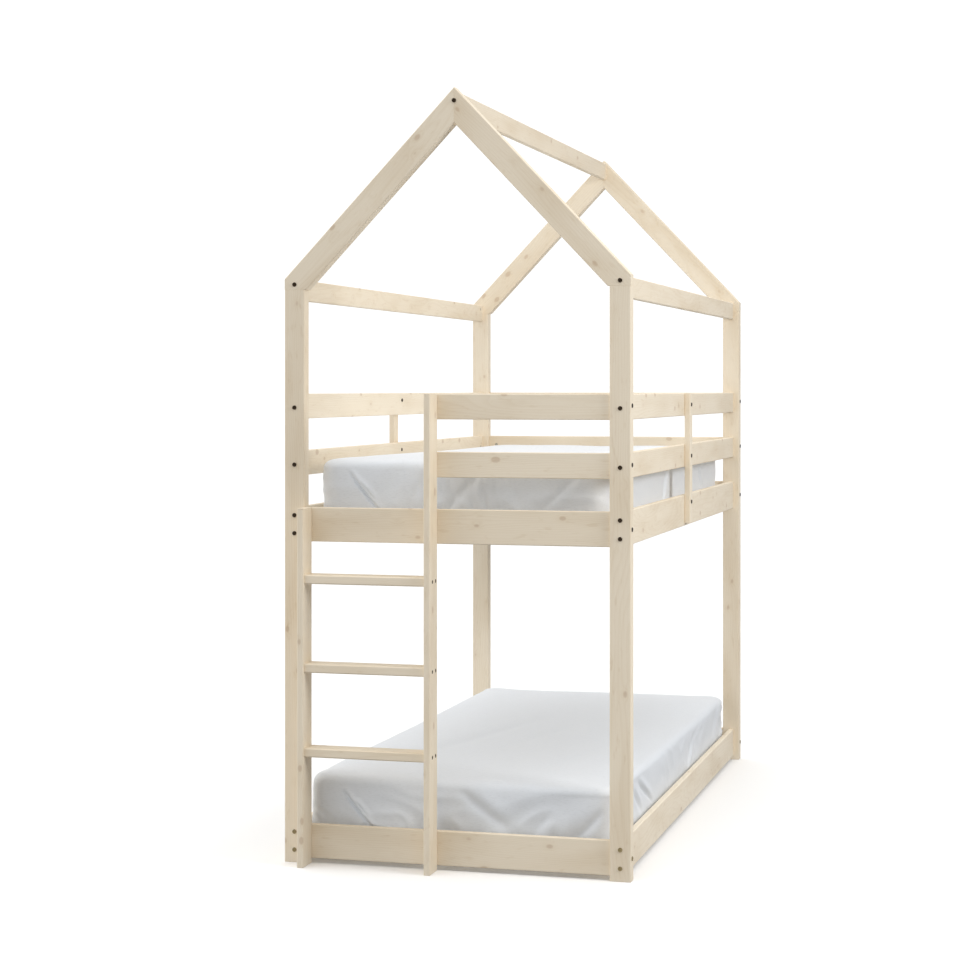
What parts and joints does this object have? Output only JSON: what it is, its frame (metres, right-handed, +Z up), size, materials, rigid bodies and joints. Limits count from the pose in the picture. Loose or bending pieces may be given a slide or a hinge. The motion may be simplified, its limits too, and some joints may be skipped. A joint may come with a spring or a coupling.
{
  "type": "house bunk bed",
  "caption": "Child's wooden bunk bed with a house-shaped gabled top, guard rails, an end ladder and slatted bases with mattresses.",
  "frame": {"origin": "on the floor, in the middle of the whole outline: between the two sides' outer bolt heads, and between the ladder's front edge and the back posts' bolt heads", "axes": "+Z up; +Y from the ladder end to the far end; +X to the right for someone who faces the ladder, so the ladder is at -X"},
  "size_m": [0.985, 2.0464, 2.1369],
  "materials": {
    "pine_frame": "planed and sanded pine, unvarnished",
    "pine_slats": "planed pine",
    "beech_dowel": "fluted beech",
    "black_bolt": "black oxide, satin",
    "zinc_nut": "zinc plated",
    "zinc_screw": "zinc plated, dulled",
    "slat_webbing": "woven polyester tape",
    "mattress_cover": "white cotton fitted sheet"
  },
  "bodies": {
    "frame": {"post_front_left": "pine_frame", "post_front_right": "pine_frame", "post_back_left": "pine_frame", "post_back_right": "pine_frame", "lower_rail_left": "pine_frame", "lower_rail_right": "pine_frame", "lower_rail_front": "pine_frame", "lower_rail_back": "pine_frame", "upper_rail_left": "pine_frame", "upper_rail_right": "pine_frame", "upper_rail_front": "pine_frame", "upper_rail_back": "pine_frame", "guard_mid_left": "pine_frame", "guard_mid_right": "pine_frame", "guard_mid_front": "pine_frame", "guard_mid_back": "pine_frame", "guard_top_left": "pine_frame", "guard_top_right": "pine_frame", "guard_top_front": "pine_frame", "guard_top_back": "pine_frame", "guard_brace_left": "pine_frame", "guard_brace_right": "pine_frame", "rafter_front_left": "pine_frame", "rafter_front_right": "pine_frame", "rafter_back_left": "pine_frame", "rafter_back_right": "pine_frame", "eave_rail_left": "pine_frame", "eave_rail_right": "pine_frame", "ridge_beam": "pine_frame", "ladder_upright_left": "pine_frame", "ladder_upright_right": "pine_frame", "ladder_rung_1": "pine_frame", "ladder_rung_2": "pine_frame", "ladder_rung_3": "pine_frame", "lower_ledger_left": "pine_slats", "lower_ledger_right": "pine_slats", "upper_ledger_left": "pine_slats", "upper_ledger_right": "pine_slats", "lower_slats": "pine_slats", "upper_slats": "pine_slats", "lower_slat_tapes": "slat_webbing", "upper_slat_tapes": "slat_webbing", "short_bolts": "black_bolt", "long_bolts": "black_bolt", "brace_bolts": "black_bolt", "barrel_nuts": "zinc_nut", "brace_nuts": "zinc_nut", "dowels": "beech_dowel", "rung_screws": "zinc_screw", "ladder_screws": "zinc_screw", "ledger_screws": "zinc_screw"},
    "lower_mattress_body": {"lower_mattress": "mattress_cover"},
    "upper_mattress_body": {"upper_mattress": "mattress_cover"}
  },
  "joints": [
    {"name": "lower_mattress_lift", "type": "slide", "parent": "frame", "child": "lower_mattress_body", "axis": [0, 0, 1], "range_m": [0, 0.3]},
    {"name": "upper_mattress_lift", "type": "slide", "parent": "frame", "child": "upper_mattress_body", "axis": [0, 0, 1], "range_m": [0, 0.36]}
  ]
}
